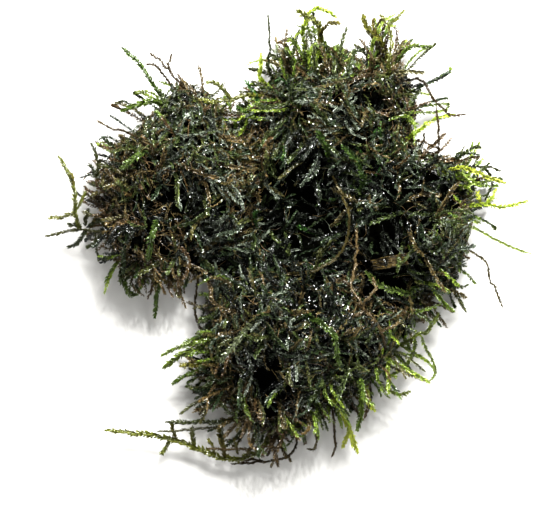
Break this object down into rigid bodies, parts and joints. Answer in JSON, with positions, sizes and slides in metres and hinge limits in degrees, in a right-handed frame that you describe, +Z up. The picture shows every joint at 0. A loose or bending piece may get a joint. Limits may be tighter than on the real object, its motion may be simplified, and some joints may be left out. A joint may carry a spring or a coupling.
{
  "type": "moss clump",
  "caption": "Loose, wet clump of branching water moss: a low lobed mat of tangled leafy shoots with single shoots and bare stems reaching out of it.",
  "frame": {"origin": "a point in the middle of the flat underside, where the clump lies on a surface", "axes": "+Z up out of the surface, +X along the clump's longest side, +Y away from the near lobe"},
  "size_m": [0.1362, 0.1287, 0.0358],
  "materials": {
    "moss_mat_mixed": "wet tangled shoots, dark green to olive, with small bright glints",
    "young_lime_shoot": "wet, thin, yellow-green",
    "green_shoot": "wet, fresh green",
    "olive_shoot": "wet, olive",
    "old_dark_shoot": "wet, nearly black green",
    "bare_brown_stem": "wet, brown, thread-thin",
    "dead_ochre_stem": "wet, ochre, dead stem or bark"
  },
  "bodies": {
    "root": {"bark_chip": "dead_ochre_stem", "moss_mat": "moss_mat_mixed", "shoot_bottom_emerald": "green_shoot", "shoot_corner_left": "green_shoot", "shoot_corner_right": "green_shoot", "shoot_left_corner": "green_shoot", "shoot_left_emerald": "green_shoot", "shoot_left_low": "green_shoot", "shoot_left_low_emerald": "green_shoot", "shoot_left_tall": "olive_shoot", "shoot_left_thick": "green_shoot", "shoot_left_top_long": "green_shoot", "shoot_left_upright": "old_dark_shoot", "shoot_long": "olive_shoot", "shoot_low_bright": "young_lime_shoot", "shoot_low_dark": "old_dark_shoot", "shoot_low_fan": "young_lime_shoot", "shoot_low_middle": "green_shoot", "shoot_low_right": "green_shoot", "shoot_near_high": "olive_shoot", "shoot_near_left": "green_shoot", "shoot_near_left_down": "green_shoot", "shoot_near_left_low": "green_shoot", "shoot_near_left_thick": "olive_shoot", "shoot_near_left_top": "green_shoot", "shoot_right_bright": "young_lime_shoot", "shoot_right_long": "young_lime_shoot", "shoot_right_pale": "young_lime_shoot", "shoot_right_thin": "green_shoot", "shoot_tail_dark": "old_dark_shoot", "shoot_top_arc": "young_lime_shoot", "shoot_top_horn": "olive_shoot", "shoot_top_lime": "young_lime_shoot", "shoot_top_middle": "olive_shoot", "shoot_top_right": "green_shoot", "shoot_valley": "green_shoot", "shoot_valley_high": "green_shoot", "shoot_valley_right": "green_shoot", "stem_bridge_low": "bare_brown_stem", "stem_bridge_top": "olive_shoot", "stem_corner": "green_shoot", "stem_left_red": "bare_brown_stem", "stem_left_top_brown": "bare_brown_stem", "stem_left_top_fork": "bare_brown_stem", "stem_left_twig": "old_dark_shoot", "stem_low_brown": "bare_brown_stem", "stem_low_loop": "dead_ochre_stem", "stem_right_curl": "old_dark_shoot", "stem_right_hair": "dead_ochre_stem", "stem_right_loop": "bare_brown_stem", "stem_right_upright": "bare_brown_stem", "stem_runner": "bare_brown_stem", "stem_runner_low": "bare_brown_stem", "stem_top_dark": "old_dark_shoot", "stem_top_high": "bare_brown_stem", "stem_top_tall": "olive_shoot", "stem_valley_brown": "bare_brown_stem", "stem_valley_ochre": "dead_ochre_stem"}
  },
  "joints": []
}
